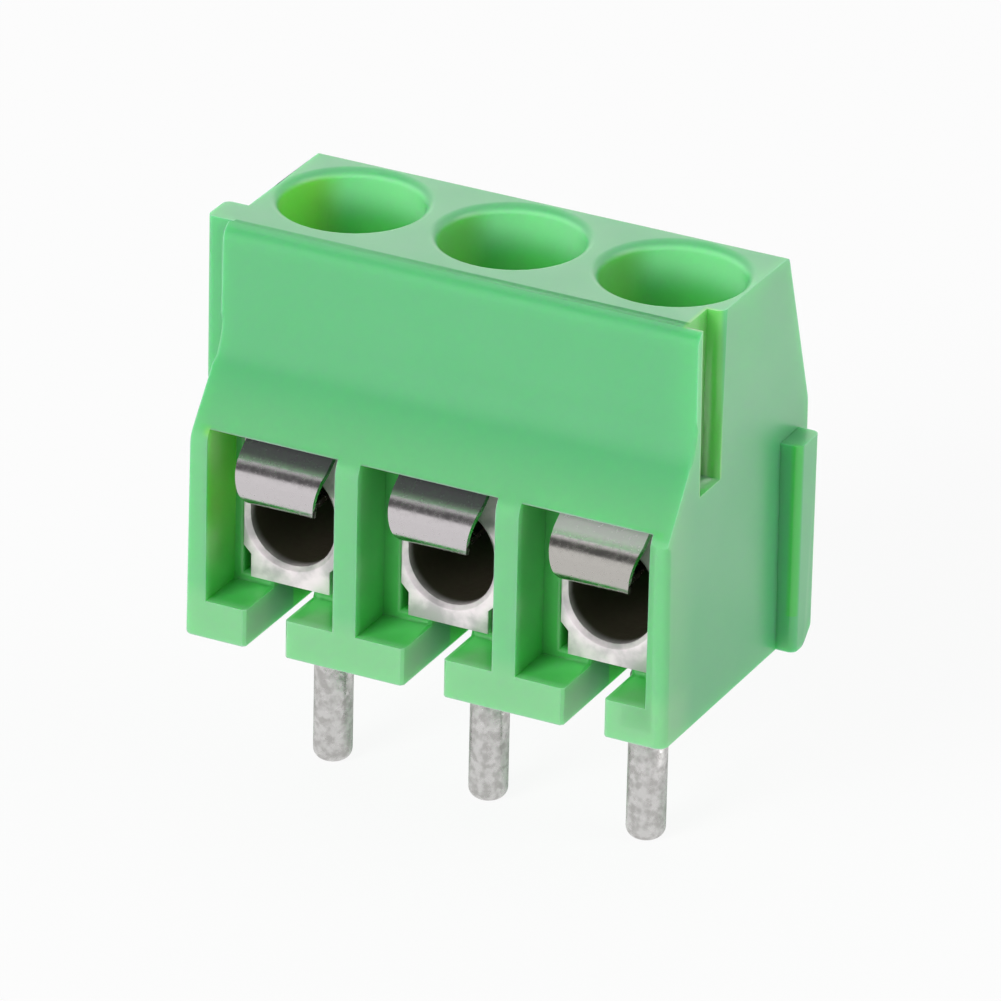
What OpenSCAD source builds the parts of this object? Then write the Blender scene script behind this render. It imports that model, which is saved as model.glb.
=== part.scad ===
// Screw terminal for a printed circuit board: three poles with wire guards.
// Millimetres. X runs along the row, Y from the wire side to the back, Z up.
// The origin lies on the seating plane, on the axis of the middle solder pin.
// Places along Y are given from the front face; placed() moves them to that origin.

/* [Row] */
// Distance from pole to pole
pitch = 3.5; // [3.5:0.01:3.81]

/* [Housing outline] */
// Height of the housing above the board
housing_h = 8.4; // [8:0.1:10]
// Depth of the housing at its base
base_d = 6.35; // [6.2:0.05:7.5]
// Distance of the top's rear edge behind the front face
top_rear_y = 5.25; // [5.2:0.05:6]
// Set-back of the upper panel behind the front face
panel_setback = 1.2; // [0.9:0.05:1.3]
// Height at which the front face starts to lean back
slope_z = 4.17; // [4:0.01:4.6]
// Lean of the sloping front stretch, in degrees from upright
slope_lean = 36; // [30:1:40]
// Radius of the sweep from the slope into the upper panel
panel_sweep_r = 1.6; // [1:0.1:2.5]
// Radius of the nose where the slope starts
nose_r = 0.5; // [0.2:0.05:0.6]
// Height at which the rear face turns upright
knee_z = 4.75; // [4:0.05:5.5]
// Chamfer along the lower rear edge
foot_chamfer = 0.45; // [0.1:0.05:0.6]
// Radius of the soft front edge of the top
crease_r = 0.35; // [0.1:0.01:0.4]
// Radius of the rear edge of the top
top_edge_r = 0.15; // [0.05:0.01:0.2]
// Inward lean of each side, from seat to top
draft = 0.1; // [0:0.01:0.12]

/* [Interlocking ribs] */
// How far the ribs stand out from the sides
rib_t = 0.4; // [0.2:0.01:0.4]
// Clearance between a rib and the groove of the next block
rib_fit = 0.05; // [0.02:0.01:0.05]
// Radius of the outer corners of the ribs
rib_r = 0.15; // [0.05:0.01:0.18]
// Place of the front rib behind the front face
front_rib_y = 1.45; // [1.4:0.01:1.5]
// Width of the front rib
front_rib_w = 0.8; // [0.5:0.01:0.8]
// Height at which the front rib starts
front_rib_z = 4.9; // [4.8:0.05:6]
// Place of the rear rib behind the front face
rear_rib_y = 5.05; // [5.05:0.01:5.1]
// Width of the rear rib
rear_rib_w = 0.85; // [0.5:0.01:0.85]
// Height of the rear rib
rear_rib_h = 4.5; // [3:0.05:4.7]

/* [Wire entries] */
// Thickness of the wall between two entries
divider_t = 0.5; // [0.4:0.01:0.8]
// Thickness of the outer walls
end_wall_t = 0.42; // [0.4:0.01:0.8]
// Depth of the entry pocket
mouth_d = 1.2; // [1.1:0.01:1.3]
// Height of the ceiling of entries and chambers
ceiling_z = 4.5; // [4.5:0.01:4.7]
// Thickness of the foot in front of the clamp
floor_t = 0.8; // [0.5:0.01:0.9]
// Height of the ledge that carries the clamp
ledge_z = 1; // [0.95:0.01:1.05]
// Lead-in at the mouth of each foot slot
slot_lead = 0.06; // [0.03:0.01:0.15]

/* [Clamp body] */
// Width of the clamp body
clamp_w = 2.1; // [2.1:0.01:2.2]
// Width of its narrower base
clamp_base_w = 1.76; // [1.6:0.01:1.9]
// Height at which the base ends
clamp_base_z = 1.5; // [1.4:0.01:1.7]
// Length of the clamp body from front to back
clamp_l = 3.9; // [3.85:0.01:3.95]
// Place of its front face behind the housing's front face
clamp_y = 1.05; // [1:0.01:1.08]
// Height of its top face above the board
clamp_top_z = 4.34; // [4.3:0.01:4.34]
// Chamfer along its upper front edge
clamp_chamfer = 0.15; // [0.13:0.01:0.2]
// Diameter of the wire bore
bore_d = 1.88; // [1.8:0.01:1.9]
// Height above the board of the round floor's centre of the bore
bore_z = 2.36; // [2.34:0.01:2.4]
// Height of the straight stretch between the bore's round floor and roof
bore_rise = 0.26; // [0.2:0.01:0.28]
// Width of the bevelled rim of the bore
bore_rim = 0.09; // [0.03:0.01:0.1]
// Clearance of the clamp body in its chamber
clamp_fit = 0.06; // [0.02:0.01:0.08]

/* [Screw] */
// Distance of the screw axis behind the front face
screw_y = 3.49; // [3.45:0.01:3.5]
// Diameter of the hole in the top for the screwdriver
access_d = 2.9; // [2.8:0.01:2.94]
// Thread diameter
thread_d = 1.6; // [1.2:0.05:1.6]
// Clearance around the thread
thread_fit = 0.03; // [0.02:0.01:0.04]
// Head diameter
head_d = 2.7; // [2.4:0.01:2.72]
// Head height
head_h = 1; // [0.8:0.05:1.1]
// Width of the driver slot
drive_w = 0.45; // [0.3:0.01:0.6]
// Depth of the driver slot
drive_d = 0.45; // [0.3:0.01:0.55]
// Chamfer of the head's rims
head_chamfer = 0.1; // [0.05:0.01:0.15]
// Stroke of the screw from open to clamped
stroke = 1.2; // [0.8:0.01:1.2]
// Clearance above the screw tip's resting place on the guard
tip_fit = 0.05; // [0.04:0.01:0.06]

/* [Solder pin] */
// Diameter of the pin
pin_d = 0.8; // [0.6:0.01:0.84]
// Length of the pin below the seating plane
pin_l = 3.65; // [2.5:0.05:5]
// Distance of the pin behind the front face
pin_y = 3; // [2.8:0.01:3.2]
// Radius of the rounded tip
tip_r = 0.24; // [0.1:0.01:0.28]
// Width of the pin's square neck in the foot slot
neck_w = 0.56; // [0.46:0.01:0.56]
// Drop from the seating plane to where the neck turns round
neck_drop = 0.08; // [0.06:0.01:0.1]
// Diameter of the shank staked in the clamp body
shank_d = 0.46; // [0.4:0.01:0.46]
// Height of the staked shank
shank_h = 0.3; // [0.2:0.01:0.32]
// Clearance of the staked shank
stake_fit = 0.01; // [0.01:0.005:0.02]
// Clearance of the pin in the foot slot
slot_fit = 0.04; // [0.02:0.01:0.06]

/* [Wire guard] */
// Sheet thickness
guard_t = 0.13; // [0.1:0.01:0.13]
// Width at the top of the bow
guard_w = 1.92; // [1.8:0.01:2]
// Width at the foot of the bow
guard_foot_w = 1.52; // [1.4:0.01:1.6]
// Width of the leg under the screw and of the flange on the clamp
leg_w = 1; // [0.8:0.01:1.1]
// Sideways place of each loose guard, from the left of the row
guard_play = [0.18, 0.05, 0.05];
// Outer radius of the bow
bow_r = 0.56; // [0.5:0.01:0.58]
// Height of the bow's centre
bow_z = 3.5; // [3.45:0.01:3.52]
// Rise of the sheet from the bow to the clamp's top, in degrees
rise = 36; // [35:1:38]
// Upward lean of the leg, in degrees
leg_lean = 1; // [1:0.5:3]
// Distance of the leg's end behind the front face
leg_end_y = 4.2; // [4:0.05:4.3]
// Distance of the flange's end behind the front face
flange_end_y = 1.95; // [1.6:0.01:1.98]

/* [Hidden] */

POLES = 3;
FINE = 64;
ARC_STEP = 8;
OVER = 1;
INTO = 0.2;

row_w = POLES * pitch;
slot_w = pin_d + 2 * slot_fit;
mouth_w = pitch - divider_t;
chamber_w = clamp_w + 2 * clamp_fit;
chamber_rear_y = clamp_y + clamp_l;
groove_t = rib_t + rib_fit;
tip_z = bow_z - bow_r / cos(leg_lean) + guard_t / cos(leg_lean)
    + (leg_end_y - bow_r) * tan(leg_lean) + tip_fit;
head_z = clamp_top_z + stroke + guard_t + tip_fit;

// Moves a part drawn from the front face to the origin on the middle pin
module placed() {
    translate([0, -pin_y, 0]) children();
}

function pole_x(k) = (k - (POLES + 1) / 2) * pitch;

// Points of an arc about c, from angle a0 to a1, both ends included
function arc(c, r, a0, a1) =
    let (n = max(2, ceil(abs(a1 - a0) / ARC_STEP)))
    [for (i = [0:n]) let (a = a0 + (a1 - a0) * i / n) c + r * [cos(a), sin(a)]];

// Draws a shape given in (Y, Z) as a bar along the row, centred on the middle pole
module along_row(w) {
    rotate([90, 0, 90]) linear_extrude(w, center = true) children();
}

// Draws a shape given in (X, Z) as a bar from front to back
module along_depth(y0, y1) {
    translate([0, y1, 0]) rotate([90, 0, 0]) linear_extrude(y1 - y0) children();
}

// Side outline of the housing in (Y, Z): straight foot, swept slope, panel, top, leaning back
module side_outline() {
    run = panel_setback - (panel_sweep_r + nose_r) * (1 - cos(slope_lean));
    sweep_z = slope_z + (panel_sweep_r + nose_r) * sin(slope_lean) + run / tan(slope_lean);
    back_lean = atan2(base_d - top_rear_y, housing_h - knee_z);
    tuck = top_edge_r * tan((90 - back_lean) / 2);
    rear_c = [top_rear_y - tuck, housing_h - top_edge_r];
    polygon(concat(
        [[0, 0]],
        arc([nose_r, slope_z], nose_r, 180, 180 - slope_lean),
        arc([panel_setback - panel_sweep_r, sweep_z], panel_sweep_r, -slope_lean, 0),
        arc([panel_setback + crease_r, housing_h - crease_r], crease_r, 180, 90),
        arc(rear_c, top_edge_r, 90, back_lean),
        [[base_d, knee_z], [base_d, foot_chamfer], [base_d - foot_chamfer, 0]]
    ));
}

// Front outline of the housing in (X, Z), narrowing towards the top
module front_outline() {
    half = row_w / 2;
    polygon([[-half, 0], [half, 0], [half - draft, housing_h], [-half + draft, housing_h]]);
}

// Plan of a rib that stands out towards +X from the line X = 0
module rib_plan(w) {
    translate([-INTO, 0]) square([INTO + rib_t - rib_r, w]);
    translate([-INTO, rib_r]) square([INTO + rib_t, w - 2 * rib_r]);
    for (y = [rib_r, w - rib_r]) translate([rib_t - rib_r, y]) circle(rib_r, $fn = FINE);
}

module front_rib() {
    translate([-row_w / 2, front_rib_y, front_rib_z])
        mirror([1, 0, 0]) linear_extrude(housing_h - front_rib_z) rib_plan(front_rib_w);
}

module rear_rib() {
    rear = rear_rib_y + rear_rib_w;
    difference() {
        translate([row_w / 2, rear_rib_y, 0]) linear_extrude(rear_rib_h) rib_plan(rear_rib_w);
        translate([row_w / 2 + rib_t / 2, 0, 0]) along_row(rib_t + 2 * OVER)
            polygon([[rear - foot_chamfer, 0], [rear + OVER, foot_chamfer + OVER],
                [rear + OVER, -OVER], [rear - foot_chamfer, -OVER]]);
    }
}

// Groove for the front rib of the next block, open at the top
module front_groove() {
    translate([row_w / 2 - groove_t, front_rib_y - rib_fit, front_rib_z - rib_fit])
        cube([groove_t + OVER, front_rib_w + 2 * rib_fit, housing_h]);
}

// Groove for the rear rib of the next block, open at the bottom
module rear_groove() {
    translate([-row_w / 2 - OVER, rear_rib_y - rib_fit, -OVER])
        cube([groove_t + OVER, rear_rib_w + 2 * rib_fit, rear_rib_h + rib_fit + OVER]);
}

// Entry pocket; those at the ends of the row reach to the outer walls
module mouth(k) {
    x0 = k == 1 ? -row_w / 2 + end_wall_t : pole_x(k) - mouth_w / 2;
    x1 = k == POLES ? row_w / 2 - end_wall_t : pole_x(k) + mouth_w / 2;
    translate([x0, -OVER, floor_t]) cube([x1 - x0, mouth_d + OVER, ceiling_z - floor_t]);
}

module chamber(k) {
    translate([pole_x(k) - chamber_w / 2, mouth_d - INTO, ledge_z])
        cube([chamber_w, chamber_rear_y - mouth_d + INTO, ceiling_z - ledge_z]);
}

// Slot that the pin slides along when the clamp body goes in from the front
module foot_slot(k) {
    half = slot_w / 2;
    translate([pole_x(k), 0, -OVER]) linear_extrude(OVER + ledge_z + INTO) {
        translate([-half, -OVER]) square([slot_w, pin_y + OVER]);
        translate([0, pin_y]) circle(half, $fn = FINE);
        polygon([[-half - slot_lead, 0], [-half, slot_lead], [half, slot_lead],
            [half + slot_lead, 0], [half + slot_lead, -OVER], [-half - slot_lead, -OVER]]);
    }
}

module access_hole(k) {
    translate([pole_x(k), screw_y, ceiling_z - INTO])
        cylinder(h = housing_h, d = access_d, $fn = FINE);
}

module housing() {
    color("mediumseagreen") difference() {
        union() {
            intersection() {
                along_row(row_w + OVER) side_outline();
                along_depth(-OVER, base_d + OVER) front_outline();
            }
            front_rib();
            rear_rib();
        }
        front_groove();
        rear_groove();
        for (k = [1:POLES]) {
            mouth(k);
            chamber(k);
            foot_slot(k);
            access_hole(k);
        }
    }
}

// End face of the clamp body in (X, Z): a narrow base under a wider block
module clamp_outline() {
    base = clamp_base_w / 2;
    half = clamp_w / 2;
    polygon([[-base, ledge_z], [base, ledge_z], [base, clamp_base_z],
        [half, clamp_base_z + half - base], [half, clamp_top_z], [-half, clamp_top_z],
        [-half, clamp_base_z + half - base], [-base, clamp_base_z]]);
}

// Wire bore with an upright round-ended section, and its bevelled rim
module wire_bore() {
    r = bore_d / 2;
    for (z = [bore_z, bore_z + bore_rise]) translate([0, clamp_y, z]) rotate([-90, 0, 0]) {
        translate([0, 0, -OVER]) cylinder(h = clamp_l + 2 * OVER, r = r, $fn = FINE);
        cylinder(h = bore_rim, r1 = r + bore_rim, r2 = r, $fn = FINE);
    }
    translate([0, 0, bore_z]) linear_extrude(bore_rise) {
        translate([-r, clamp_y - OVER]) square([bore_d, clamp_l + 2 * OVER]);
        polygon([[-r - bore_rim, clamp_y], [r + bore_rim, clamp_y],
            [r, clamp_y + bore_rim], [-r, clamp_y + bore_rim]]);
    }
}

module clamp_body(k) {
    color("lightgray") translate([pole_x(k), 0, 0]) difference() {
        along_depth(clamp_y, chamber_rear_y) clamp_outline();
        wire_bore();
        translate([0, screw_y, bore_z])
            cylinder(h = clamp_top_z, d = thread_d + 2 * thread_fit, $fn = FINE);
        translate([0, pin_y, ledge_z - OVER])
            cylinder(h = OVER + shank_h + stake_fit, d = shank_d + 2 * stake_fit, $fn = FINE);
        along_row(clamp_w + OVER) polygon([
            [clamp_y - OVER, clamp_top_z - clamp_chamfer - OVER],
            [clamp_y + clamp_chamfer + OVER, clamp_top_z + OVER],
            [clamp_y - OVER, clamp_top_z + OVER]]);
    }
}

module solder_pin(k) {
    r = pin_d / 2;
    color("silver") translate([pole_x(k), pin_y, 0]) {
        rotate_extrude($fn = FINE) polygon(concat(
            [[0, -neck_drop], [0, -pin_l]],
            arc([r - tip_r, tip_r - pin_l], tip_r, -90, 0),
            [[r, -neck_drop]]
        ));
        translate([-neck_w / 2, -neck_w / 2, -neck_drop - INTO])
            cube([neck_w, neck_w, INTO + neck_drop + ledge_z]);
        cylinder(h = ledge_z + shank_h, d = shank_d, $fn = FINE);
    }
}

// Side outline of the guard in (Y, Z): flange on the clamp, rise, bow, leg under the screw
module guard_outline() {
    c = [bow_r, bow_z];
    inner = bow_r - guard_t;
    a0 = 90 + rise;
    a1 = 270 + leg_lean;
    top_z = clamp_top_z + guard_t;
    up_out = c + bow_r * [cos(a0), sin(a0)];
    up_in = c + inner * [cos(a0), sin(a0)];
    low_out = c + bow_r * [cos(a1), sin(a1)];
    low_in = c + inner * [cos(a1), sin(a1)];
    polygon(concat(
        [[flange_end_y, top_z], [up_out[0] + (top_z - up_out[1]) / tan(rise), top_z]],
        arc(c, bow_r, a0, a1),
        [[leg_end_y, low_out[1] + (leg_end_y - low_out[0]) * tan(leg_lean)],
            [leg_end_y, low_in[1] + (leg_end_y - low_in[0]) * tan(leg_lean)]],
        arc(c, inner, a1, a0),
        [[up_in[0] + (clamp_top_z - up_in[1]) / tan(rise), clamp_top_z],
            [flange_end_y, clamp_top_z]]
    ));
}

// Outline of the sheet seen from the front, in (X, Z), narrowing down the bow
module guard_taper() {
    half = guard_w / 2;
    foot = guard_foot_w / 2;
    low = bow_z - bow_r;
    polygon([[-foot, low - OVER], [foot, low - OVER], [foot, low], [half, bow_z + bow_r],
        [half, ceiling_z + OVER], [-half, ceiling_z + OVER], [-half, bow_z + bow_r], [-foot, low]]);
}

module wire_guard(k) {
    turn_y = bow_r + guard_t;
    color("gainsboro") translate([pole_x(k) + guard_play[k - 1], 0, 0]) intersection() {
        along_row(guard_w) guard_outline();
        union() {
            along_depth(-OVER, turn_y) guard_taper();
            translate([-guard_w / 2, turn_y - INTO, bow_z])
                cube([guard_w, clamp_y - turn_y + INTO, bow_z]);
            translate([-leg_w / 2, turn_y - INTO, 0]) cube([leg_w, leg_end_y, 2 * bow_z]);
        }
    }
}

module screw(k) {
    head_r = head_d / 2;
    shank_r = thread_d / 2;
    top_z = head_z + head_h;
    color("silver") translate([pole_x(k), screw_y, 0]) difference() {
        rotate_extrude($fn = FINE) polygon([
            [0, tip_z], [shank_r - head_chamfer, tip_z], [shank_r, tip_z + head_chamfer],
            [shank_r, head_z], [head_r - head_chamfer, head_z], [head_r, head_z + head_chamfer],
            [head_r, top_z - head_chamfer], [head_r - head_chamfer, top_z], [0, top_z]]);
        translate([-head_d, -drive_w / 2, top_z - drive_d]) cube([2 * head_d, drive_w, head_h]);
    }
}

placed() housing();
placed() clamp_body(1);  // clamp_body_1
placed() clamp_body(2);  // clamp_body_2
placed() clamp_body(3);  // clamp_body_3
placed() solder_pin(1);  // solder_pin_1
placed() solder_pin(2);  // solder_pin_2
placed() solder_pin(3);  // solder_pin_3
placed() wire_guard(1);  // wire_guard_1
placed() wire_guard(2);  // wire_guard_2
placed() wire_guard(3);  // wire_guard_3
placed() screw(1);  // screw_1
placed() screw(2);  // screw_2
placed() screw(3);  // screw_3
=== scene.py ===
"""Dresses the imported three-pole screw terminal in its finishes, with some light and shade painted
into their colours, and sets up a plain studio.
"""

import bisect
import logging
import math
from dataclasses import dataclass
from enum import Enum
from typing import Any, Callable, Iterable, NamedTuple, Sequence

import bmesh
import bpy
from mathutils import Matrix, Vector


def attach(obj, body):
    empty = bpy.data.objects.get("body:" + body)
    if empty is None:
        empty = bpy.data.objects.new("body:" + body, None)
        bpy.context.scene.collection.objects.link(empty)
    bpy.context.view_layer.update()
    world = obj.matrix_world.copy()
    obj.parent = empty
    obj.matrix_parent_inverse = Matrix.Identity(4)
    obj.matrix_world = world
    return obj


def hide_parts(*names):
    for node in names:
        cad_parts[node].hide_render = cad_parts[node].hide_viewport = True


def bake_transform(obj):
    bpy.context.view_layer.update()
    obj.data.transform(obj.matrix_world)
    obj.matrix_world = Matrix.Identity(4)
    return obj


logging.basicConfig(level=logging.INFO, format="%(levelname)s %(message)s")
log = logging.getLogger("screw_terminal")

# Lengths are in millimetres, apart from those multiplied by MM, which are in metres.
MM = 0.001
NEAR = 0.03
PITCH = 3.5
POLES = (1, 2, 3)

Point = tuple[float, float]
Socket = bpy.types.NodeSocket


class Slot(Enum):
    """Material slots of the part."""

    HOUSING = "housing"
    CLAMP = "clamp_body"
    PIN = "solder_pin"
    GUARD = "wire_guard"
    SCREW = "screw"


class Axis(Enum):
    """Coordinates that a mark on the housing can follow."""

    ALONG = "along the row, from its middle"
    ACROSS = "along the row, from the middle of the nearest pole"
    ASIDE = "to either side of the nearest pole"
    DEPTH = "from front to back"
    HEIGHT = "up from the board"
    REACH = "away from the nearest hole's axis"


# ---------------------------------------------------------------- helpers


def pole_x(pole: int) -> float:
    """Gives the place of a pole along the row.

    Args:
        pole: Number of the pole, from 1 at the left.

    Returns:
        X in millimetres.
    """
    return (pole - 2) * PITCH


def linear(colour: str) -> tuple[float, float, float, float]:
    """Turns a hex colour into linear light.

    Args:
        colour: sRGB colour such as "#53b479".

    Returns:
        Linear red, green, blue and an alpha of 1.
    """
    parts = [int(colour[i : i + 2], 16) / 255 for i in (1, 3, 5)]
    red, green, blue = (
        c / 12.92 if c <= 0.04045 else ((c + 0.055) / 1.055) ** 2.4 for c in parts
    )
    return (red, green, blue, 1.0)


def add_node(
    tree: bpy.types.NodeTree, kind: str, inputs: dict[Any, Any] | None = None, **settings: Any
) -> bpy.types.Node:
    """Adds one node with its settings and its links.

    Args:
        tree: Node tree that gets the node.
        kind: Type name of the node.
        inputs: Value or source socket for each named or numbered input.
        **settings: Properties of the node itself.

    Returns:
        The new node.
    """
    node = tree.nodes.new(kind)
    for name, value in settings.items():
        setattr(node, name, value)
    for key, value in (inputs or {}).items():
        if isinstance(value, Socket):
            tree.links.new(value, node.inputs[key])
        else:
            node.inputs[key].default_value = value
    return node


def ramp(
    tree: bpy.types.NodeTree, value: Socket, low: float, high: float, to: Point = (0.0, 1.0)
) -> Socket:
    """Maps a value smoothly from one range to another.

    Args:
        tree: Node tree that gets the node.
        value: Socket with the value.
        low: Value at which the result is the first of to.
        high: Value at which the result is the second of to.
        to: Results at low and high.

    Returns:
        Socket with the result.
    """
    node = add_node(
        tree,
        "ShaderNodeMapRange",
        {"Value": value, "From Min": low, "From Max": high, "To Min": to[0], "To Max": to[1]},
        interpolation_type="SMOOTHSTEP",
    )
    return node.outputs["Result"]


def calc(tree: bpy.types.NodeTree, operation: str, *values: Any) -> Socket:
    """Adds one sum.

    Args:
        tree: Node tree that gets the node.
        operation: Name of the operation.
        *values: Numbers or sockets it works on.

    Returns:
        Socket with the result.
    """
    node = add_node(tree, "ShaderNodeMath", dict(enumerate(values)), operation=operation)
    return node.outputs[0]


def product(tree: bpy.types.NodeTree, *factors: Any) -> Socket:
    """Multiplies several sockets or numbers.

    Args:
        tree: Node tree that gets the nodes.
        *factors: At least two sockets or numbers.

    Returns:
        Socket with the product.
    """
    result = factors[0]
    for factor in factors[1:]:
        result = calc(tree, "MULTIPLY", result, factor)
    return result


def mixed(tree: bpy.types.NodeTree, factor: Socket, first: Any, second: Any) -> Socket:
    """Mixes two colours.

    Args:
        tree: Node tree that gets the node.
        factor: Share of the second colour.
        first: Colour or socket at factor 0.
        second: Colour or socket at factor 1.

    Returns:
        Socket with the mixed colour.
    """
    node = add_node(
        tree, "ShaderNodeMix", {0: factor, 6: first, 7: second}, data_type="RGBA"
    )
    return node.outputs[2]


def noise(tree: bpy.types.NodeTree, scale: float, detail: float, seed: float = 0.0) -> Socket:
    """Adds noise fixed to the piece.

    Args:
        tree: Node tree that gets the nodes.
        scale: Features for each metre.
        detail: Octaves of finer noise.
        seed: Shift along a fourth dimension.

    Returns:
        Socket with the noise, around 0.5.
    """
    place = add_node(tree, "ShaderNodeTexCoord").outputs["Object"]
    node = add_node(
        tree,
        "ShaderNodeTexNoise",
        {"Vector": place, "Scale": scale, "Detail": detail, "W": seed},
        noise_dimensions="4D",
    )
    return node.outputs["Fac"]


def bump(tree: bpy.types.NodeTree, height: Socket, strength: float, depth: float) -> Socket:
    """Turns a height into a bumped normal.

    Args:
        tree: Node tree that gets the node.
        height: Socket with the height.
        strength: Share of the effect.
        depth: Depth of the relief in millimetres.

    Returns:
        Socket with the normal.
    """
    node = add_node(
        tree, "ShaderNodeBump", {"Height": height, "Strength": strength, "Distance": depth * MM}
    )
    return node.outputs["Normal"]


def plain_rays(tree: bpy.types.NodeTree) -> tuple[bpy.types.Node, Socket]:
    """Marks the rays that camera, mirrors and glass send out.

    Args:
        tree: Node tree that gets the nodes.

    Returns:
        The light path node, and a socket that is 1 for those rays and 0 for others.
    """
    seen = add_node(tree, "ShaderNodeLightPath")
    rays = seen.outputs["Is Camera Ray"]
    for kind in ("Is Glossy Ray", "Is Transmission Ray"):
        both = {0: rays, 1: seen.outputs[kind]}
        rays = add_node(tree, "ShaderNodeMath", both, use_clamp=True).outputs[0]
    return seen, rays


def new_material(name: str) -> tuple[bpy.types.Material, bpy.types.NodeTree, bpy.types.Node]:
    """Starts a material with an empty tree.

    Args:
        name: Name of the material.

    Returns:
        The material, its node tree and its output node.
    """
    material = bpy.data.materials.new(name)
    material.use_nodes = True
    material.node_tree.nodes.clear()
    output = add_node(material.node_tree, "ShaderNodeOutputMaterial")
    return material, material.node_tree, output


def cad_copy(node: str, joined: bool = True) -> bmesh.types.BMesh:
    """Copies a CAD node into clean flat and curved faces.

    Args:
        node: Name of the CAD node.
        joined: Joins the triangles of each flat face.

    Returns:
        Merged copy.
    """
    bm = bmesh.new()
    bm.from_mesh(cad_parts[node].data)
    bmesh.ops.remove_doubles(bm, verts=bm.verts[:], dist=0.002 * MM)
    if joined:
        bmesh.ops.dissolve_limit(
            bm, angle_limit=math.radians(0.6), verts=bm.verts[:], edges=bm.edges[:]
        )
    bmesh.ops.recalc_face_normals(bm, faces=bm.faces[:])
    return bm


def sharp_edges(
    bm: bmesh.types.BMesh, accept: Callable[[Vector], bool], degrees: float = 32
) -> list[bmesh.types.BMEdge]:
    """Finds the sharp outward edges in one region.

    Args:
        bm: Mesh to search.
        accept: Says whether a middle point in millimetres lies in the region.
        degrees: Smallest angle between the faces.

    Returns:
        The edges found.
    """
    return [
        e
        for e in bm.edges
        if len(e.link_faces) == 2
        and e.calc_face_angle_signed(0) > math.radians(degrees)
        and accept((e.verts[0].co + e.verts[1].co) / 2 / MM)
    ]


def soften(
    edges: list[bmesh.types.BMEdge], bm: bmesh.types.BMesh, width: float, steps: int
) -> None:
    """Rounds edges over.

    Args:
        edges: Edges to round.
        bm: Mesh they belong to.
        width: Distance from the old edge to the rounding's ends, in millimetres.
        steps: Faces across the rounding.
    """
    bmesh.ops.bevel(
        bm,
        geom=edges,
        offset=width * MM,
        offset_type="OFFSET",
        affect="EDGES",
        segments=steps,
        profile=0.5,
        clamp_overlap=False,
        material=-1,
    )


def arc(cx: float, cz: float, radius: float, start: float, end: float, steps: int) -> list[Point]:
    """Lists the points of an arc.

    Args:
        cx: First coordinate of the centre.
        cz: Second coordinate of the centre.
        radius: Radius of the arc.
        start: First angle in degrees.
        end: Last angle in degrees.
        steps: Stretches along the arc.

    Returns:
        Points from start to end, both included.
    """
    angles = [math.radians(start + (end - start) * i / steps) for i in range(steps + 1)]
    return [(cx + radius * math.cos(a), cz + radius * math.sin(a)) for a in angles]


def point_along(points: Sequence[Vector], reach: Sequence[float], distance: float) -> Vector:
    """Finds the point at a distance along a path.

    Args:
        points: Corners of the path.
        reach: Distance from the start to each corner.
        distance: Distance from the start, at most the last reach.

    Returns:
        The point.
    """
    last = len(points) - 2
    i = min(max(bisect.bisect_right(reach, distance) - 1, 0), last)
    share = (distance - reach[i]) / (reach[i + 1] - reach[i])
    return points[i].lerp(points[i + 1], min(share, 1.0))


def finished(
    name: str, bm: bmesh.types.BMesh, material: bpy.types.Material, degrees: float = 30
) -> bpy.types.Object:
    """Makes the shown piece from a mesh.

    Args:
        name: Name of the piece.
        bm: Finished mesh, freed here.
        material: Finish of the piece.
        degrees: Angle above which an edge stays sharp.

    Returns:
        The new object at the origin.
    """
    mesh = bpy.data.meshes.new(name)
    bm.to_mesh(mesh)
    bm.free()
    mesh.shade_smooth()
    mesh.set_sharp_from_angle(angle=math.radians(degrees))
    mesh.materials.append(material)
    piece = bpy.data.objects.new(name, mesh)
    bpy.context.scene.collection.objects.link(piece)
    even = piece.modifiers.new("even_normals", "WEIGHTED_NORMAL")
    even.keep_sharp = True
    log.info("%s: %d faces", name, len(mesh.polygons))
    return piece


# ---------------------------------------------------------------- finishes


class Span(NamedTuple):
    """Stretch of one coordinate over which a mark fades in, with places in millimetres."""

    axis: Axis
    start: float
    end: float
    at_start: float = 0.0
    at_end: float = 1.0


@dataclass(frozen=True)
class Mark:
    """Region of the housing where all its spans have faded in."""

    spans: tuple[Span, ...]
    strength: float = 1.0


@dataclass(frozen=True)
class Layer:
    """Colour of painted light laid over the marked regions."""

    colour: str
    marks: tuple[Mark, ...]


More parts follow.
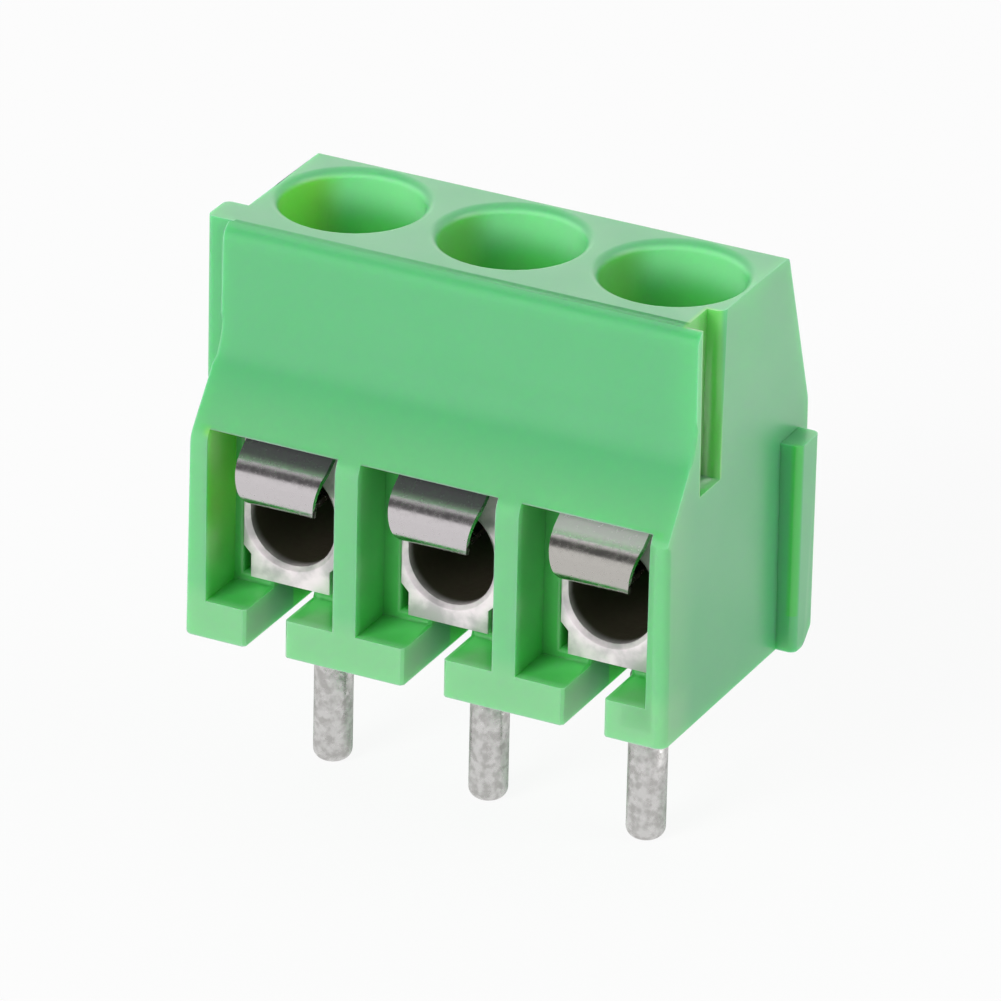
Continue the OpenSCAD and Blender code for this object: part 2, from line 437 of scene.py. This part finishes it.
@dataclass(frozen=True)
class MouldedPolyamide:
    """Green moulded nylon."""

    # The eye sees a soft green with a silky sheen at low angles, a milky depth,
    # and thin front walls and feet that glow paler and a little yellower. That glow,
    # the bounce light in the pockets and holes, the light on the walls behind the holes
    # and a sheen on the right end are painted into the colour through the layers below.
    body: str = "#5dbe7e"
    roughness: float = 0.36
    hole_y: float = 0.49
    scatter: float = 0.7
    cloud: float = 900
    grain: float = 14000
    relief: float = 0.002

    def layers(self) -> tuple[Layer, ...]:
        """Lists the painted light that lies over the body colour, from the lowest up.

        Returns:
            The layers.
        """
        along, across, aside, depth, height, reach = Axis
        front = Span(depth, -1.6, -2.6)
        in_hole = Span(reach, 1.55, 1.47)
        below_rim = Span(height, 8.35, 8.2)
        in_block = Span(depth, 2.2, 2.1)
        # Painted light: the thin front walls glow pale and the feet paler still, as light shining
        # through the plastic is painted into the colour.
        thin = Mark((front, Span(height, 6.0, 4.4)))
        foot = Mark((front, Span(height, 1.3, 0.7)))
        # In the pockets and holes green light bounces from wall to wall.
        pocket = Mark(
            (
                Span(aside, 1.6, 1.49),
                Span(depth, -2.98, -2.7),
                in_block,
                Span(height, 0.78, 0.8),
                Span(height, 4.6, 4.5),
            )
        )
        well = Mark((in_hole, Span(height, 8.2, 7.0)))
        # The wall behind the holes and the right end wall are drawn paler: painted light where light
        # falls on the upper rear walls of the holes, and a painted sheen on the right end.
        rear = Mark(
            (in_hole, Span(depth, 1.0, 1.7), Span(height, 7.2, 8.05), Span(height, 8.38, 8.25)),
            0.85,
        )
        right_end = Mark((Span(along, 5.1, 5.2), Span(height, 4.2, 7.0)), 0.25)
        # Light shines yellower through the left walls of the holes, the left end wall
        # beside the pocket, and the wall under the front groove.
        hole_left = Mark(
            (in_hole, Span(across, -0.9, -1.4), Span(height, 6.4, 7.2), below_rim), 0.55
        )
        end_hole = Mark((in_hole, Span(along, -4.2, -4.8), Span(height, 5.8, 7.0), below_rim))
        end_wall = Mark(
            (
                Span(along, -4.8, -4.82),
                Span(along, -5.0, -4.84),
                Span(depth, -2.99, -2.9),
                in_block,
                Span(height, 4.6, 4.4),
                Span(height, 0.7, 3.2, 0.1, 0.9),
            )
        )
        groove = Mark(
            (
                Span(along, 4.7, 4.78),
                Span(depth, -1.66, -1.6),
                Span(depth, -0.6, -0.68),
                Span(height, 4.8, 4.9),
            ),
            0.5,
        )
        return (
            Layer("#72c487", (thin,)),
            Layer("#84cb91", (foot,)),
            Layer("#52c860", (pocket,)),
            Layer("#61dc6c", (well,)),
            Layer("#9ceeb0", (rear, right_end)),
            Layer("#8fdc5e", (hole_left, end_hole, end_wall, groove)),
        )

    def coordinates(self, tree: bpy.types.NodeTree) -> dict[Axis, Socket]:
        """Measures where a point lies on the housing.

        Args:
            tree: Node tree that gets the nodes.

        Returns:
            Socket in metres for each coordinate.
        """
        place = add_node(tree, "ShaderNodeTexCoord").outputs["Object"]
        along, depth, height = add_node(tree, "ShaderNodeSeparateXYZ", {0: place}).outputs
        across = calc(tree, "WRAP", along, -PITCH / 2 * MM, PITCH / 2 * MM)
        back = calc(tree, "SUBTRACT", depth, self.hole_y * MM)
        squares = calc(
            tree, "ADD", calc(tree, "POWER", across, 2.0), calc(tree, "POWER", back, 2.0)
        )
        return {
            Axis.ALONG: along,
            Axis.ACROSS: across,
            Axis.ASIDE: calc(tree, "ABSOLUTE", across),
            Axis.DEPTH: depth,
            Axis.HEIGHT: height,
            Axis.REACH: calc(tree, "SQRT", squares),
        }

    def share(
        self, tree: bpy.types.NodeTree, place: dict[Axis, Socket], marks: Sequence[Mark]
    ) -> Socket:
        """Finds how strongly the strongest of several marks holds.

        Args:
            tree: Node tree that gets the nodes.
            place: Socket for each coordinate.
            marks: Regions to look at.

        Returns:
            Socket that is 1 inside a full mark and 0 outside them all.
        """
        shares = []
        for mark in marks:
            faded = [
                ramp(tree, place[s.axis], s.start * MM, s.end * MM, (s.at_start, s.at_end))
                for s in mark.spans
            ]
            shares.append(product(tree, *faded, mark.strength))
        strongest = shares[0]
        for other in shares[1:]:
            strongest = calc(tree, "MAXIMUM", strongest, other)
        return strongest

    def build(self) -> bpy.types.Material:
        """Builds the finish.

        Returns:
            The material.
        """
        material, tree, output = new_material("moulded_polyamide")
        place = self.coordinates(tree)
        colour: Any = linear(self.body)
        # Each layer mixes its painted light over the body colour.
        for layer in self.layers():
            colour = mixed(tree, self.share(tree, place, layer.marks), colour, linear(layer.colour))
        cloud = noise(tree, self.cloud, 2)
        skin = add_node(
            tree,
            "ShaderNodeBsdfPrincipled",
            {
                "Base Color": colour,
                "Roughness": ramp(
                    tree, cloud, 0.3, 0.7, (self.roughness - 0.03, self.roughness + 0.04)
                ),
                "Normal": bump(tree, noise(tree, self.grain, 2), 0.35, self.relief),
                "Specular IOR Level": 0.7,
                "Coat Weight": 0.5,
                "Coat Roughness": 0.28,
                "Subsurface Weight": 1.0,
                "Subsurface Radius": (0.3, 1.0, 0.35),
                "Subsurface Scale": self.scatter * MM,
            },
        )
        tree.links.new(skin.outputs[0], output.inputs["Surface"])
        return material


@dataclass(frozen=True)
class TinPlate:
    """Dipped or plated tin over brass."""

    # The eye sees a pale grey metal, clouded and finely pitted, with soft bright patches.
    name: str
    bright: str = "#fff1f8"
    dull: str = "#c6c0c3"
    metallic: float = 0.35
    roughness: float = 0.36
    relief: float = 0.012
    seed: float = 0.0
    cloud: float = 1500
    pits: float = 6500
    # Behind this depth the colour fades to a dark brass tone, painted shade for the bore and the
    # hidden back of the block.
    bore_shade_y: float | None = None
    bore_shade_fade: float = 0.3
    brass: str = "#4e493c"

    def build(self) -> bpy.types.Material:
        """Builds the finish.

        Returns:
            The material.
        """
        material, tree, output = new_material(self.name)
        cloud = noise(tree, self.cloud, 4, self.seed)
        fine = noise(tree, self.pits, 3, self.seed + 5)
        colour = mixed(
            tree, ramp(tree, cloud, 0.36, 0.62), linear(self.dull), linear(self.bright)
        )
        shine = ramp(tree, fine, 0.3, 0.7, (self.roughness - 0.08, self.roughness + 0.12))
        height = calc(tree, "ADD", cloud, product(tree, fine, 0.4))
        # Painted shade: everything behind the front face is drawn dark, for the shade inside the
        # bore.
        if self.bore_shade_y is not None:
            place = add_node(tree, "ShaderNodeTexCoord").outputs["Object"]
            depth = add_node(tree, "ShaderNodeSeparateXYZ", {0: place}).outputs["Y"]
            start = self.bore_shade_y * MM
            bore_shade = ramp(tree, depth, start, start + self.bore_shade_fade * MM)
            colour = mixed(tree, bore_shade, colour, linear(self.brass))
        metal = add_node(
            tree,
            "ShaderNodeBsdfPrincipled",
            {
                "Base Color": colour,
                "Metallic": self.metallic,
                "Roughness": shine,
                "Normal": bump(tree, height, 0.8, self.relief),
            },
        )
        tree.links.new(metal.outputs[0], output.inputs["Surface"])
        return material


@dataclass(frozen=True)
class StainlessSheet:
    """Bright rolled stainless strip."""

    # The eye sees a polished sheet with stretched reflections and fine bright specks,
    # matt on the slope above the bow, where painted shade or a painted highlight darkens or
    # brightens the colour.
    name: str = "stainless_sheet"
    tone: str = "#c9c4c6"
    roughness: float = 0.22
    specks: float = 9000
    # Colour of the slope above the bow, where light or shade is painted: dark painted shade by
    # default.
    rise_light_and_shade: str = "#5f5661"
    rise_light_z: float | None = None
    rise_light_fade: float = 0.1
    rise_metallic: float = 0.3
    waves: float = 3000
    relief: float = 0.006

    def build(self) -> bpy.types.Material:
        """Builds the finish.

        Returns:
            The material.
        """
        material, tree, output = new_material(self.name)
        fine = noise(tree, self.specks, 3)
        shine = ramp(tree, fine, 0.35, 0.65, (self.roughness - 0.05, self.roughness + 0.06))
        colour: Any = linear(self.tone)
        metallic: Any = 1.0
        # Painted light and shade: above this height the colour turns to the slope colour and the
        # metal turns matt.
        if self.rise_light_z is not None:
            place = add_node(tree, "ShaderNodeTexCoord").outputs["Object"]
            height = add_node(tree, "ShaderNodeSeparateXYZ", {0: place}).outputs["Z"]
            low = (self.rise_light_z - self.rise_light_fade) * MM
            high = (self.rise_light_z + self.rise_light_fade) * MM
            colour = mixed(tree, ramp(tree, height, low, high), colour, linear(self.rise_light_and_shade))
            metallic = ramp(tree, height, low, high, (1.0, self.rise_metallic))
        metal = add_node(
            tree,
            "ShaderNodeBsdfPrincipled",
            {
                "Base Color": colour,
                "Metallic": metallic,
                "Roughness": shine,
                "Normal": bump(tree, noise(tree, self.waves, 2), 0.4, self.relief),
            },
        )
        tree.links.new(metal.outputs[0], output.inputs["Surface"])
        return material


@dataclass(frozen=True)
class StudioFloor:
    """Plain pale floor."""

    # The eye sees white paper that fades into the white behind and takes a soft shadow.
    # Round metal stays darker at its sides, as it mirrors the shaded paper behind it.
    paper: str = "#f2f2f2"
    glow: float = 0.9
    shaded: float = 0.12
    shade_start: Point = (-0.6, 1.2)
    shade_end: Point = (12.0, 8.0)

    def build(self) -> bpy.types.Material:
        """Builds the finish.

        Returns:
            The material.
        """
        material, tree, output = new_material("studio_floor")
        seen, rays = plain_rays(tree)
        place = add_node(tree, "ShaderNodeTexCoord").outputs["Object"]
        depth = add_node(tree, "ShaderNodeSeparateXYZ", {0: place}).outputs["Y"]
        behind = product(
            tree,
            seen.outputs["Is Glossy Ray"],
            *(ramp(tree, depth, a * MM, b * MM) for a, b in (self.shade_start, self.shade_end)),
        )
        level = ramp(tree, behind, 0, 1, (self.glow, self.shaded))
        share = product(tree, rays, level)
        paper = add_node(tree, "ShaderNodeBsdfDiffuse", {"Color": linear(self.paper)})
        white = add_node(tree, "ShaderNodeEmission", {"Color": (1, 1, 1, 1), "Strength": 1.0})
        surface = add_node(
            tree, "ShaderNodeMixShader", {0: share, 1: paper.outputs[0], 2: white.outputs[0]}
        )
        tree.links.new(surface.outputs[0], output.inputs["Surface"])
        return material


# ---------------------------------------------------------------- pieces


@dataclass(frozen=True)
class Housing:
    """Moulded body with pockets, chambers, holes, ribs and grooves."""

    top_z: float = 8.4
    hole_r: float = 1.45
    hole_y: float = 0.49
    rim: float = 0.2
    corner: float = 0.2
    outer: float = 0.09
    groove: float = 0.18
    least_room: float = 0.2
    side_x: float = 5.1
    front_y: float = -2.9
    corner_z: Point = (0.1, 4.3)
    groove_y: float = -0.7
    groove_z: float = 4.9

    def on_rim(self, p: Vector) -> bool:
        """Says whether a point lies on the rim of a hole in the top.

        Args:
            p: Point in millimetres.

        Returns:
            Whether it does.
        """
        reach = min(math.hypot(p.x - pole_x(k), p.y - self.hole_y) for k in POLES)
        return p.z > self.top_z - NEAR and abs(reach - self.hole_r) < NEAR

    def room(self, edge: bmesh.types.BMEdge) -> float:
        """Measures the shortest edge that leaves the ends of an edge.

        Args:
            edge: Edge of the housing.

        Returns:
            Length in metres.
        """
        return min(
            other.calc_length() for v in edge.verts for other in v.link_edges if other != edge
        )

    def on_corner(self, p: Vector) -> bool:
        """Says whether a point lies on the upright front corner at the right.

        Args:
            p: Point in millimetres.

        Returns:
            Whether it does.
        """
        low, high = self.corner_z
        return p.x > self.side_x and p.y < self.front_y and low < p.z < high

    def on_groove(self, p: Vector) -> bool:
        """Says whether a point lies on the rear edge of the front groove.

        Args:
            p: Point in millimetres.

        Returns:
            Whether it does.
        """
        return p.x > self.side_x and abs(p.y - self.groove_y) < NEAR and p.z > self.groove_z

    def build(self, material: bpy.types.Material) -> bpy.types.Object:
        """Builds the housing with softened edges.

        Args:
            material: Finish of the housing.

        Returns:
            The piece.
        """
        bm = cad_copy("housing")
        soften(sharp_edges(bm, self.on_rim), bm, self.rim, steps=6)
        soften(sharp_edges(bm, self.on_groove), bm, self.groove, steps=5)
        soften(sharp_edges(bm, self.on_corner), bm, self.corner, steps=5)
        rest = sharp_edges(bm, lambda p: not self.on_rim(p), degrees=40)
        roomy = [e for e in rest if min(e.calc_length(), self.room(e)) >= self.least_room * MM]
        soften(roomy, bm, self.outer, steps=3)
        piece = finished("housing_moulding", bm, material)
        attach(piece, "housing")
        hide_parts("housing")
        return piece


@dataclass(frozen=True)
class ClampBody:
    """Tinned block with wire bore and tapped hole."""

    pole: int
    edge: float = 0.018
    face_y: float = -1.95
    bore_z: float = 2.49
    reach: float = 1.04

    def on_face(self, p: Vector) -> bool:
        """Says whether a point lies on the outline of the front face, away from the bore.

        Args:
            p: Point in millimetres.

        Returns:
            Whether it does.
        """
        across = p.x - pole_x(self.pole)
        clear = math.hypot(across, p.z - self.bore_z) > self.reach
        return clear and abs(p.y - self.face_y) < NEAR

    def build(self, material: bpy.types.Material) -> bpy.types.Object:
        """Builds the block with softened edges.

        Args:
            material: Finish of the block.

        Returns:
            The piece.
        """
        bm = cad_copy(f"clamp_body_{self.pole}", joined=False)
        soften(sharp_edges(bm, self.on_face, degrees=40), bm, self.edge, steps=3)
        piece = finished(f"clamp_{self.pole}", bm, material)
        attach(piece, "housing")
        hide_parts(f"clamp_body_{self.pole}")
        return piece


@dataclass(frozen=True)
class SolderPin:
    """Round pin with a domed tip and a square neck, staked in the clamp body."""

    pole: int

    def build(self, material: bpy.types.Material) -> bpy.types.Object:
        """Builds the pin.

        Args:
            material: Finish of the pin.

        Returns:
            The piece.
        """
        bm = cad_copy(f"solder_pin_{self.pole}", joined=False)
        piece = finished(f"pin_{self.pole}", bm, material)
        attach(piece, "housing")
        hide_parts(f"solder_pin_{self.pole}")
        return piece


@dataclass(frozen=True)
class WireGuard:
    """Bent strip that keeps the screw off the wire: flange, rise, bow and leg."""

    pole: int
    shift: float
    sheet: float = 0.13
    half_top: float = 0.96
    half_foot: float = 0.76
    half_leg: float = 0.5
    bow_y: float = -2.44
    bow_z: float = 3.5
    bow_r: float = 0.495
    flange_y: float = -1.05
    flange_z: float = 4.405
    rise: float = 36
    crease_r: float = 0.2
    leg_y: float = 1.2
    lean: float = 1
    corner: float = 0.1
    corner_share: float = 0.35
    neck: Point = (-0.1, 0.45)
    long_steps: int = 150
    wide_steps: int = 12
    bow_steps: int = 28
    crease_steps: int = 5

    def path(self) -> list[Point]:
        """Draws the middle of the sheet from the flange to the end of the leg.

        Returns:
            Points in Y and Z, in millimetres.
        """
        bow = arc(
            self.bow_y, self.bow_z, self.bow_r, 90 + self.rise, 270 + self.lean, self.bow_steps
        )
        up_y, up_z = bow[0]
        corner = up_y + (self.flange_z - up_z) / math.tan(math.radians(self.rise))
        end_z = bow[-1][1] + (self.leg_y - bow[-1][0]) * math.tan(math.radians(self.lean))
        start = corner + self.crease_r * math.tan(math.radians(self.rise / 2))
        crease = arc(
            start,
            self.flange_z - self.crease_r,
            self.crease_r,
            90,
            90 + self.rise,
            self.crease_steps,
        )
        return [(self.flange_y, self.flange_z), *crease, *bow, (self.leg_y, end_z)]

    def half_width(self, y: float, z: float) -> float:
        """Gives half the sheet's width at one place along it.

        Args:
            y: Place from front to back.
            z: Height.

        Returns:
            Half width in millimetres.
        """
        if z > self.bow_z + self.bow_r:
            return self.half_top
        low = self.bow_z - self.bow_r
        share = min(max((z - low) / (2 * self.bow_r), 0.0), 1.0)
        width = self.half_foot + (self.half_top - self.half_foot) * share
        width -= self.corner * max(1 - share / self.corner_share, 0.0) ** 2
        start, run = self.neck
        past = y - self.bow_y - start
        if past > 0 and z < self.bow_z:
            t = min(past / run, 1.0)
            width += (self.half_leg - width) * t * t * (3 - 2 * t)
        return width

    def build(self, material: bpy.types.Material) -> bpy.types.Object:
        """Bends a flat grid along the path and gives it its thickness.

        Args:
            material: Finish of the sheet.

        Returns:
            The piece.
        """
        points = [Vector((y, z)) for y, z in self.path()]
        reach = [0.0]
        for a, b in zip(points, points[1:]):
            reach.append(reach[-1] + (b - a).length)

        bm = bmesh.new()
        bmesh.ops.create_grid(bm, x_segments=self.long_steps, y_segments=self.wide_steps, size=1.0)
        x0 = pole_x(self.pole) + self.shift
        for v in bm.verts:
            y, z = point_along(points, reach, (v.co.x + 1) / 2 * reach[-1])
            v.co = Vector((x0 + v.co.y * self.half_width(y, z), y, z)) * MM
        bmesh.ops.recalc_face_normals(bm, faces=bm.faces[:])
        bm.normal_update()
        for v in bm.verts:
            v.co += v.normal * (self.sheet / 2) * MM
        bmesh.ops.solidify(bm, geom=bm.faces[:], thickness=self.sheet * MM)
        piece = finished(f"guard_{self.pole}", bm, material, degrees=40)
        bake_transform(piece)
        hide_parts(f"wire_guard_{self.pole}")
        return piece


@dataclass(frozen=True)
class Screw:
    """Slotted clamping screw with its thread."""

    pole: int
    axis_y: float = 0.49
    outer_r: float = 0.8
    core_r: float = 0.64
    lead: float = 0.35
    head_z: float = 5.72
    turn_steps: int = 32
    flank: float = 0.13
    crest: float = 0.06
    bite: float = 0.03
    clear: float = 0.05
    start: float = 0.06

    def wind_thread(self, bm: bmesh.types.BMesh, centre: Vector, low: float, high: float) -> None:
        """Winds a right-hand ridge around the core.

        Args:
            bm: Mesh that gets the ridge.
            centre: Axis of the screw.
            low: Height at which the ridge starts, in millimetres.
            high: Height that it stays under, in millimetres.
        """
        root = self.core_r - self.bite
        rise = self.flank + self.crest
        section = [
            (root, 0.0),
            (self.outer_r, self.flank),
            (self.outer_r, rise),
            (root, rise + self.flank),
        ]
        verts = [bm.verts.new(centre + Vector((r, 0, low + z)) * MM) for r, z in section]
        edges = [bm.edges.new(pair) for pair in zip(verts, verts[1:])]
        steps = int((high - low - self.lead) / self.lead * self.turn_steps)
        bmesh.ops.spin(
            bm,
            geom=verts + edges,
            cent=centre,
            axis=(0, 0, 1),
            dvec=(0, 0, self.lead / self.turn_steps * MM),
            angle=math.tau * steps / self.turn_steps,
            steps=steps,
        )

    def build(self, material: bpy.types.Material) -> bpy.types.Object:
        """Narrows the shank to its core and winds the thread around it.

        Args:
            material: Finish of the screw.

        Returns:
            The piece.
        """
        bm = cad_copy(f"screw_{self.pole}")
        centre = Vector((pole_x(self.pole), self.axis_y, 0)) * MM
        low = min(v.co.z for v in bm.verts) / MM
        for v in bm.verts:
            if v.co.z < (self.head_z - self.clear) * MM:
                flat = Vector((v.co.x - centre.x, v.co.y - centre.y))
                if flat.length > self.core_r * MM:
                    flat = flat.normalized() * self.core_r * MM
                v.co.x, v.co.y = centre.x + flat.x, centre.y + flat.y
        self.wind_thread(bm, centre, low + self.start, self.head_z)
        piece = finished(f"screw_piece_{self.pole}", bm, material)
        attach(piece, f"screw_{self.pole}")
        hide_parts(f"screw_{self.pole}")
        return piece


# ---------------------------------------------------------------- studio


@dataclass(frozen=True)
class SoftLamp:
    """Square soft lamp, with its place and its side in metres and its power in watts."""

    name: str
    place: tuple[float, float, float]
    size: float
    power: float
    mirrored: bool = True

    def build(self, target: Vector) -> None:
        """Adds the lamp.

        Args:
            target: Point in metres that it is aimed at.
        """
        data = bpy.data.lights.new(self.name, "AREA")
        data.size = self.size
        data.energy = self.power
        lamp = bpy.data.objects.new(self.name, data)
        bpy.context.scene.collection.objects.link(lamp)
        lamp.location = self.place
        aim = target - Vector(self.place)
        lamp.rotation_euler = aim.to_track_quat("-Z", "Y").to_euler()
        lamp.visible_glossy = self.mirrored


@dataclass(frozen=True)
class Studio:
    """Pale floor, white surroundings and soft lamps."""

    floor_z: float = -3.65
    floor_reach: float = 1.5
    around: float = 0.5
    shade: float = 0.13
    shade_front: Point = (-0.05, -0.3)
    shade_low: Point = (0.4, 0.58)
    shade_high: Point = (0.92, 0.8)
    target: tuple[float, float, float] = (0.0, 0.0, 0.003)
    lamps: tuple[SoftLamp, ...] = (
        SoftLamp("key", (-0.14, -0.46, 0.22), 0.22, 1.7, mirrored=False),
        SoftLamp("side", (0.42, 0.1, 0.2), 0.25, 0.42),
        SoftLamp("back", (-0.2, 0.4, 0.22), 0.35, 0.2),
    )

    def surroundings(self) -> None:
        """Lights the scene evenly and shows white to camera, mirror and glass.

        Shiny surfaces mirror a darker patch high up in front.
        """
        world = bpy.data.worlds.new("studio_world")
        world.use_nodes = True
        tree = world.node_tree
        tree.nodes.clear()
        seen, rays = plain_rays(tree)
        way = add_node(tree, "ShaderNodeTexCoord").outputs["Generated"]
        split = add_node(tree, "ShaderNodeSeparateXYZ", {0: way})
        ahead = product(
            tree,
            ramp(tree, split.outputs["Y"], *self.shade_front),
            ramp(tree, split.outputs["Z"], *self.shade_low),
            ramp(tree, split.outputs["Z"], *self.shade_high),
            seen.outputs["Is Glossy Ray"],
        )
        white = ramp(tree, ahead, 0, 1, (1.0, self.shade))
        level = add_node(
            tree, "ShaderNodeMix", {0: rays, 2: self.around, 3: white}
        ).outputs[0]
        light = add_node(
            tree, "ShaderNodeBackground", {"Color": (1, 1, 1, 1), "Strength": level}
        )
        output = add_node(tree, "ShaderNodeOutputWorld")
        tree.links.new(light.outputs[0], output.inputs["Surface"])
        bpy.context.scene.world = world

    def build(self) -> None:
        """Builds floor, surroundings and lamps."""
        bm = bmesh.new()
        bmesh.ops.create_grid(bm, x_segments=1, y_segments=1, size=self.floor_reach)
        bmesh.ops.translate(bm, verts=bm.verts[:], vec=(0, 0, self.floor_z * MM))
        mesh = bpy.data.meshes.new("floor")
        bm.to_mesh(mesh)
        bm.free()
        mesh.materials.append(StudioFloor().build())
        floor = bpy.data.objects.new("floor", mesh)
        bpy.context.scene.collection.objects.link(floor)
        self.surroundings()
        for lamp in self.lamps:
            lamp.build(Vector(self.target))
        log.info("studio ready")


@dataclass(frozen=True)
class ProductCamera:
    """Camera in front, to the right of and above the part."""

    azimuth: float = 26.289
    elevation: float = 25.676
    roll: float = 1.328
    distance: float = 200.0
    target: tuple[float, float, float] = (0.126, 0.0, 2.915)
    focal_px: float = 10170.3
    width_px: float = 1001.0

    def build(self) -> None:
        """Adds the camera and makes it the scene's."""
        az, el, roll = (math.radians(a) for a in (self.azimuth, self.elevation, self.roll))
        back = Vector((math.sin(az) * math.cos(el), -math.cos(az) * math.cos(el), math.sin(el)))
        right = (-back).cross(Vector((0, 0, 1))).normalized()
        up = right.cross(-back)
        side = math.cos(roll) * right + math.sin(roll) * up
        over = -math.sin(roll) * right + math.cos(roll) * up
        place = (Vector(self.target) + back * self.distance) * MM
        data = bpy.data.cameras.new("product_camera")
        data.sensor_width = 36.0
        data.lens = 36.0 * self.focal_px / self.width_px
        data.clip_start, data.clip_end = 0.01, 20.0
        camera = bpy.data.objects.new("product_camera", data)
        bpy.context.scene.collection.objects.link(camera)
        turn = Matrix((side, over, back)).transposed().to_4x4()
        camera.matrix_world = Matrix.Translation(place) @ turn
        bpy.context.scene.camera = camera
        log.info("camera ready")


def main() -> None:
    """Dresses every piece and sets the studio up."""
    bpy.context.scene.view_settings.view_transform = "Standard"
    housing = MouldedPolyamide().build()
    clamp = TinPlate("tinned_clamp", seed=1.0, bore_shade_y=-1.9).build()
    pin = TinPlate(
        "tinned_pin",
        bright="#cfcdcc",
        dull="#b2b0ae",
        metallic=0.92,
        roughness=0.3,
        relief=0.015,
        seed=7.0,
        cloud=6000,
    ).build()
    # Two copies of the guard sheet: painted shade on the rise of guards 1 and 2, and for guard 3 a
    # copy with its own tone and a painted highlight on the rise.
    guard = StainlessSheet(rise_light_z=3.97).build()
    lit_sheet = StainlessSheet("sheet_painted_highlight", tone="#b8b5b0", rise_light_and_shade="#dcc9d9", rise_light_z=3.97).build()
    screw = StainlessSheet("nickel_plate", tone="#cfccc2", roughness=0.28).build()
    Housing().build(housing)
    for pole, shift, sheet in zip(POLES, (0.18, 0.05, 0.05), (guard, guard, lit_sheet)):
        ClampBody(pole).build(clamp)
        SolderPin(pole).build(pin)
        WireGuard(pole, shift).build(sheet)
        Screw(pole).build(screw)
    Studio().build()
    ProductCamera().build()


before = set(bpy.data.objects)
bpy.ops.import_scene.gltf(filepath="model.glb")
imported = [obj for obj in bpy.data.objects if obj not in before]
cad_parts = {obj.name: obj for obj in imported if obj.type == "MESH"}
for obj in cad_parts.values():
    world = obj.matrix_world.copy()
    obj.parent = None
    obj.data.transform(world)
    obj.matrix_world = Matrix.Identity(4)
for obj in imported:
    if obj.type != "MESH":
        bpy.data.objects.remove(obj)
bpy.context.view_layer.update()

if __name__ == "__main__":
    main()
